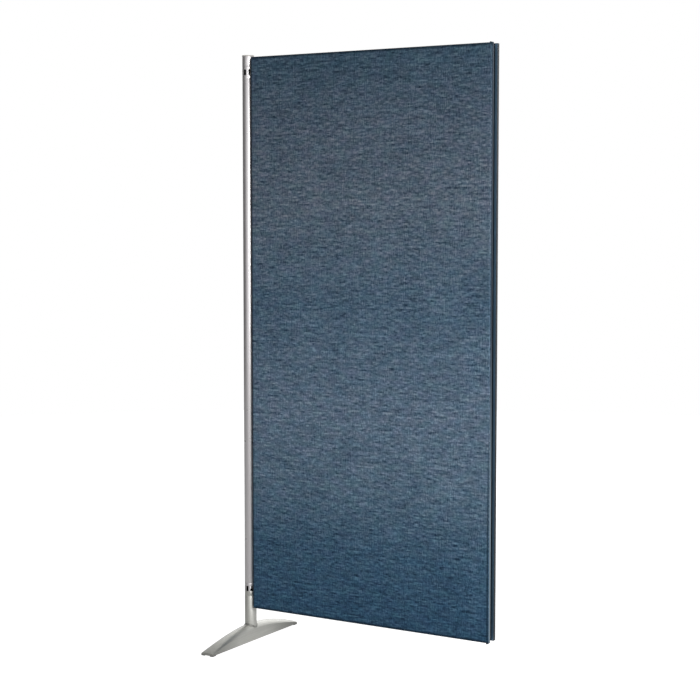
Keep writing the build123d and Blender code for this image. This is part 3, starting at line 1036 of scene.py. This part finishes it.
def dress_nodes():
    """Finish of every node of the frame."""
    slots = {part["node"]: part["material_slot"] for part in frame["record"]["subparts"]}
    for name, node in frame["nodes"].items():
        finish_node(node, slots[name])


# Floor, light and camera

WHITE = (1, 1, 1, 1)
FLOOR_RADIUS = 6.0
FLOOR_GREY = (0.5, 0.5, 0.5, 1)
FLOOR_SHADOW_REACH = 1.2
FLOOR_WHITE_REACH = 3.2
FLOOR_LIFT = 0.86
# Painted light on the floor that only glossy rays see, brighter on the key light's side
GLOSSY_FLOOR_LIGHT = (0.12, 0.42)
FLOOR_DIM_EDGE = (-0.6, -0.3)

AMBIENT = 0.3
WALL_STRENGTH = 0.06

# Patches have an azimuth and an elevation in degrees, and the power that narrows them
FRONT_PATCH = (42, 0, 1.6)
FRONT_PATCH_STRENGTH = 1.7
BACK_PATCH = (192, 24, 4)
BACK_PATCH_STRENGTH = 2.5

# Softboxes have a place, a width, a height and a power in watts
SOFTBOX_AIM = (0, 0, 0.8)
KEY_SOFTBOX = ((3.8, -3.1, 2.3), 2.6, 2.0, 235)
BACK_SOFTBOX = ((0.2, 4.0, 3.2), 2.0, 2.0, 120)

# The turn and the tilt are in degrees, the lens and the sensor in millimetres
CAMERA_PLACE = (2.343, -3.937, 1.27)
CAMERA_TURN = 31.22
CAMERA_TILT = 4.24
CAMERA_SHIFT = -0.02
LENS = 83.06
SENSOR = 36


def seen_ray(tree, place):
    """One for camera and transmission rays; for glossy rays, painted light that is bright on the key light's
    side alone.
    """
    path = add(tree, "LightPath").outputs
    side = spread(tree, axes(tree, place)["X"], *FLOOR_DIM_EDGE, *GLOSSY_FLOOR_LIGHT)
    glossy = calc(tree, "MULTIPLY", path["Is Glossy Ray"], side)
    other = calc(tree, "MAXIMUM", glossy, path["Is Transmission Ray"])
    return calc(tree, "MAXIMUM", path["Is Camera Ray"], other)


def floor():
    """Pale round floor that shows white and keeps the object's shadow."""
    start()
    bpy.ops.mesh.primitive_circle_add(vertices=ROUND_STEPS, radius=FLOOR_RADIUS, fill_type="NGON")
    piece = named("floor")
    made = bpy.data.materials.new("pale floor")
    made.use_nodes = True
    tree = made.node_tree
    tree.nodes.clear()
    place = add(tree, "TexCoord").outputs["Object"]
    away = add(tree, "VectorMath", {0: place}, operation="LENGTH").outputs["Value"]
    lift = spread(tree, away, FLOOR_SHADOW_REACH, FLOOR_WHITE_REACH, FLOOR_LIFT, 1.0)
    strength = calc(tree, "MULTIPLY", seen_ray(tree, place), lift)
    paint = add(tree, "BsdfDiffuse", {"Color": FLOOR_GREY}).outputs[0]
    glow = add(tree, "Emission", {"Color": WHITE, "Strength": strength}).outputs[0]
    total = add(tree, "AddShader", {0: paint, 1: glow}).outputs[0]
    add(tree, "OutputMaterial", {"Surface": total})
    piece.data.materials.append(made)


def heading(tree, way, azimuth, elevation, power):
    """Soft bright patch of the studio's walls, round a heading counted from the front towards the right."""
    turn, rise = math.radians(azimuth), math.radians(elevation)
    middle_way = (math.sin(turn) * math.cos(rise), -math.cos(turn) * math.cos(rise), math.sin(rise))
    facing = add(tree, "VectorMath", {0: way, 1: middle_way}, operation="DOT_PRODUCT").outputs["Value"]
    return calc(tree, "POWER", calc(tree, "MAXIMUM", facing, 0.0), power)


def background(tree, strength):
    """White light of a strength from all round."""
    return add(tree, "Background", {"Color": WHITE, "Strength": strength}).outputs[0]


def studio():
    """White background; metal sees two bright patches of wall and darker walls between them."""
    world = bpy.data.worlds.new("studio")
    bpy.context.scene.world = world
    world.use_nodes = True
    tree = world.node_tree
    tree.nodes.clear()
    path = add(tree, "LightPath").outputs
    way = add(tree, "TexCoord").outputs["Generated"]
    back = calc(tree, "MULTIPLY", heading(tree, way, *BACK_PATCH), BACK_PATCH_STRENGTH)
    patches = calc(tree, "MULTIPLY_ADD", heading(tree, way, *FRONT_PATCH), FRONT_PATCH_STRENGTH, back)
    walls = background(tree, calc(tree, "ADD", patches, WALL_STRENGTH))
    shiny = add(tree, "MixShader", {"Fac": path["Is Glossy Ray"], 1: background(tree, AMBIENT), 2: walls})
    seen = calc(tree, "MAXIMUM", path["Is Camera Ray"], path["Is Transmission Ray"])
    total = add(tree, "MixShader", {"Fac": seen, 1: shiny.outputs[0], 2: background(tree, 1.0)})
    add(tree, "OutputWorld", {"Surface": total.outputs[0]})


def softbox(name, place, width, height, power):
    """Large area lamp that points at the object."""
    start()
    bpy.ops.object.light_add(type="AREA", location=place)
    lamp = bpy.context.object
    lamp.name = name
    lamp.rotation_euler = (Vector(SOFTBOX_AIM) - Vector(place)).to_track_quat("-Z", "Y").to_euler()
    lamp.data.shape = "RECTANGLE"
    lamp.data.size = width
    lamp.data.size_y = height
    lamp.data.energy = power
    return lamp


def camera():
    """Camera at the photograph's place."""
    start()
    bpy.ops.object.camera_add(location=CAMERA_PLACE,
                              rotation=(math.radians(90 - CAMERA_TILT), 0, math.radians(CAMERA_TURN)))
    made = bpy.context.object
    made.data.shift_y = CAMERA_SHIFT
    made.data.lens = LENS
    made.data.sensor_width = SENSOR
    bpy.context.scene.camera = made


bpy.context.scene.view_settings.view_transform = "Standard"
camera()
floor()
studio()
softbox("key softbox", *KEY_SOFTBOX)
softbox("back softbox", *BACK_SOFTBOX).visible_glossy = False
build_post()
build_foot()
build_panel()
dress_nodes()
